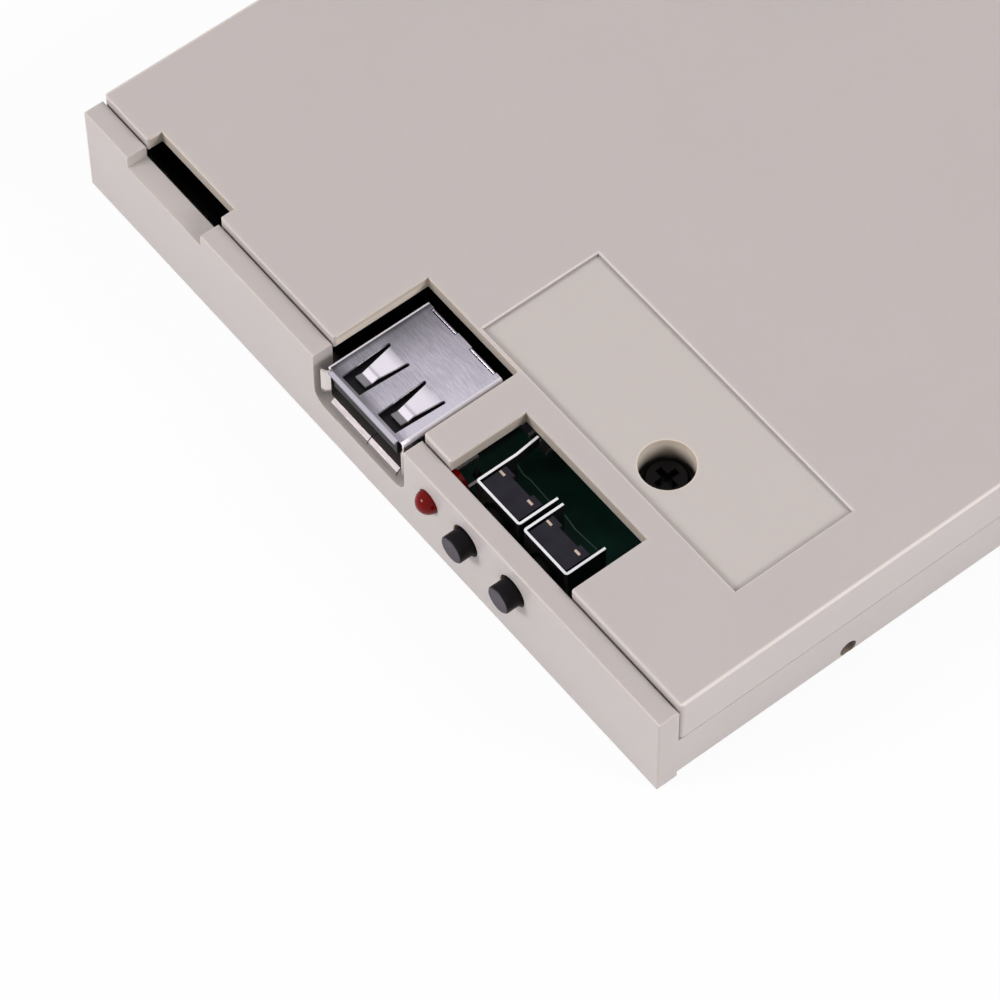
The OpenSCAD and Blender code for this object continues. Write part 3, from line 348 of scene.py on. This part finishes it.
def make_lens_red():
    """Deep red and clear, with a small highlight."""
    material, tree, shader = start_material("lens_red")
    cloud = noise(tree, object_coordinates(tree), 400)
    tree.links.new(clouded(tree, cloud, (0.13, 0.0015, 0.001), (0.17, 0.002, 0.0015)),
                   shader.inputs["Base Color"])
    tree.links.new(rise(tree, cloud, 0.0, 1.0, 0.05, 0.1), shader.inputs["Roughness"])
    shader.inputs["Specular IOR Level"].default_value = 0.14
    return material


def printed_line(tree, x, y, start, end):
    """A thin stroke from start to end, which lies more across than deep."""
    (x0, y0), (x1, y1) = start, end
    off = size_of(tree, combine(tree, "SUBTRACT", y, rise(tree, x, x0, x1, y0, y1)))
    return product(tree, rise(tree, off, 0.09, 0.05), rise(tree, x, x0 - 0.02, x0), rise(tree, x, x1 + 0.02, x1))


def make_board_green():
    """Dark lacquer that turns a little greener in patches, painted near black at the left as painted shade, over a
    fine glass weave, with a thin print.
    """
    material, tree, shader = start_material("board_green")
    place = object_coordinates(tree)
    x, y, _ = measured(tree, place)
    patches = ramp(tree, noise(tree, place, 140, 2.0), (0.35, (0.005, 0.02, 0.0135)), (0.7, (0.009, 0.052, 0.035)))
    lacquer = mixed(tree, rise(tree, x, BOARD_SHADED_TO, BOARD_SHADED_TO + 1.0), (0.0025, 0.003, 0.002), patches)
    strokes = [printed_line(tree, x, y, *pair) for row in PRINT for pair in zip(row, row[1:])]
    tree.links.new(mixed(tree, largest(tree, *strokes), lacquer, (0.1, 0.2, 0.15)), shader.inputs["Base Color"])
    tree.links.new(rise(tree, noise(tree, place, 900), 0.0, 1.0, 0.38, 0.5), shader.inputs["Roughness"])
    shader.inputs["Specular IOR Level"].default_value = 0.12
    bump(tree, shader, noise(tree, place, 2200, 2.0), 0.15, 0.01 * MM)
    return material


cover_plastic = make_case_plastic("cover_plastic", CASE)
tray_plastic = make_case_plastic("tray_plastic", shade(CASE, 0.965))
nickel_plate = make_nickel_plate()
frame_steel = make_frame_steel()
button_plastic = make_button_plastic()
lens_red = make_lens_red()
board_green = make_board_green()

tin_lead = grained("tin_lead", (0.78, 0.77, 0.75), 0.9, 1.05, 700, 0.35, 2500, 0.01 * MM, metal=1.0)
contact_metal = grained("contact_metal", (0.3, 0.22, 0.14), 0.9, 1.05, 700, 0.4, 2500, 0.01 * MM, metal=1.0)
gold_pin = grained("gold_pin", (0.83, 0.62, 0.28), 0.93, 1.05, 700, 0.28, 2500, 0.01 * MM, metal=1.0)
copper_strip = grained("copper_strip", (0.58, 0.47, 0.38), 0.85, 1.1, 900, 0.4, 2500, 0.01 * MM, metal=0.6)
can_metal = grained("can_metal", (0.74, 0.74, 0.75), 0.94, 1.04, 300, 0.3, 2000, 0.01 * MM, metal=1.0)
switch_plastic = grained("switch_plastic", (0.013, 0.0115, 0.017), 0.75, 1.3, 500, 0.42, 3000, 0.02 * MM, gloss=0.18)
header_plastic = grained("header_plastic", (0.02, 0.02, 0.022), 0.8, 1.3, 300, 0.42, 3000, 0.02 * MM)
white_plastic = grained("white_plastic", (0.78, 0.76, 0.7), 0.96, 1.03, 200, 0.45, 3000, 0.02 * MM)
tongue_plastic = grained("tongue_plastic", (0.008, 0.007, 0.008), 0.9, 1.1, 300, 0.45, 3000, 0.02 * MM, gloss=0.2)
jumper_plastic = grained("jumper_plastic", (0.03, 0.08, 0.32), 0.9, 1.1, 300, 0.4, 3000, 0.02 * MM)
chip_epoxy = grained("chip_epoxy", (0.02, 0.02, 0.022), 0.8, 1.3, 600, 0.6, 5000, 0.03 * MM)
chip_ceramic = grained("chip_ceramic", (0.42, 0.3, 0.19), 0.92, 1.06, 900, 0.5, 4000, 0.02 * MM)
screw_black = grained("screw_black", (0.005, 0.004, 0.004), 0.8, 1.4, 900, 0.35, 2500, 0.02 * MM, gloss=0.08)

FINISH = {
    "lower_tray": tray_plastic, "top_cover": cover_plastic, "circuit_board": board_green,
    "usb_shell": nickel_plate, "usb_insulator": tongue_plastic, "usb_contacts": contact_metal,
    "indicator_lens": lens_red, "indicator_leads": tin_lead,
    "switch_body_left": switch_plastic, "switch_body_right": switch_plastic,
    "switch_frame_left": frame_steel, "switch_frame_right": frame_steel,
    "switch_strips_left": copper_strip, "switch_strips_right": copper_strip,
    "switch_dome_left": frame_steel, "switch_dome_right": frame_steel,
    "button_left": button_plastic, "button_right": button_plastic,
    "data_header": header_plastic, "data_pins": gold_pin,
    "power_header": white_plastic, "power_pins": gold_pin,
    "select_header": header_plastic, "select_pins": gold_pin, "jumper_caps": jumper_plastic,
    "controller_chip": chip_epoxy, "controller_leads": tin_lead, "crystal_can": can_metal,
    "regulator_chip": chip_epoxy, "regulator_leads": tin_lead,
    "capacitor_cans": can_metal, "capacitor_bases": chip_epoxy,
    "chip_resistors": chip_epoxy, "chip_capacitors": chip_ceramic, "chip_ends": tin_lead,
    "cover_screw": screw_black, "board_screws": tin_lead,
}
for name, material in FINISH.items():
    slots = nodes[name].data.materials
    slots.clear()
    slots.append(material)


# Floor, light and camera

def seen_or_mirrored(tree):
    """One where the camera looks straight, or by way of metal or glass, and nought for light on the drive."""
    rays = add(tree, "ShaderNodeLightPath").outputs
    return largest(tree, *(rays[f"Is {kind} Ray"] for kind in ("Camera", "Glossy", "Transmission")))


def mix_shaders(tree, fac, first, second, output):
    mix = add(tree, "ShaderNodeMixShader")
    tree.links.new(fac, mix.inputs["Fac"])
    tree.links.new(first, mix.inputs[1])
    tree.links.new(second, mix.inputs[2])
    tree.links.new(mix.outputs["Shader"], tree.nodes[output].inputs["Surface"])


def make_floor():
    """A white floor that keeps the drive's shadow."""
    bpy.ops.object.select_all(action="DESELECT")
    bpy.ops.mesh.primitive_plane_add(size=6, location=(0, 0, 0))
    floor = bpy.context.object
    floor.name = "floor"
    material, tree, shader = start_material("floor_white")
    shader.inputs["Base Color"].default_value = (0.8, 0.8, 0.8, 1)
    shader.inputs["Roughness"].default_value = 0.9
    glow = add(tree, "ShaderNodeEmission")
    mix_shaders(tree, product(tree, seen_or_mirrored(tree), 0.93), shader.outputs["BSDF"], glow.outputs["Emission"],
                "Material Output")
    floor.data.materials.append(material)


def make_world():
    """Soft light from overhead, dimmer from behind and from low down, and white where it is seen or mirrored."""
    world = bpy.data.worlds.new("studio")
    bpy.context.scene.world = world
    world.use_nodes = True
    tree = world.node_tree
    sky = tree.nodes["Background"]
    white = add(tree, "ShaderNodeBackground")
    way = add(tree, "ShaderNodeSeparateXYZ")
    tree.links.new(add(tree, "ShaderNodeTexCoord").outputs["Generated"], way.inputs["Vector"])
    tone = ramp(tree, way.outputs["Y"], (0.15, shade(LIGHT, 0.64)), (0.34, shade(LIGHT, 0.55)))
    tree.links.new(tone, sky.inputs["Color"])
    tree.links.new(rise(tree, way.outputs["Z"], 0.15, 0.5, 0.5, 1.0), sky.inputs["Strength"])
    mix_shaders(tree, seen_or_mirrored(tree), sky.outputs["Background"], white.outputs["Background"], "World Output")


def make_lamp(name, place, power):
    data = bpy.data.lights.new(name, "AREA")
    data.shape = "DISK"
    data.size = LAMP_SIZE
    data.energy = power
    data.color = LIGHT
    lamp = bpy.data.objects.new(name, data)
    bpy.context.collection.objects.link(lamp)
    lamp.location = place
    lamp.rotation_euler = (Vector(LAMP_TARGET) - Vector(place)).to_track_quat("-Z", "Y").to_euler()


def make_camera():
    turn, tilt, roll = (radians(angle) for angle in CAMERA_ANGLES)
    right = Vector((cos(turn), sin(turn), 0))
    back = Vector((sin(turn) * cos(tilt), -cos(turn) * cos(tilt), sin(tilt)))
    up = back.cross(right)
    axes = (cos(roll) * right + sin(roll) * up, cos(roll) * up - sin(roll) * right, back)
    place = Vector(CAMERA_AIM)
    for axis, offset in zip(axes, CAMERA_OFFSET):
        place += offset * axis
    data = bpy.data.cameras.new("camera")
    data.sensor_width = 36
    data.lens = CAMERA_LENS
    camera = bpy.data.objects.new("camera", data)
    bpy.context.collection.objects.link(camera)
    camera.matrix_world = Matrix.Translation(MM * place) @ Matrix(axes).transposed().to_4x4()
    bpy.context.scene.camera = camera


make_floor()
make_world()
make_lamp("left_lamp", (-0.3, -0.81, 0.47), 5.2)
make_lamp("right_lamp", (0.75, 0.36, 0.5), 5.0)
make_camera()
bpy.context.scene.view_settings.view_transform = "Standard"
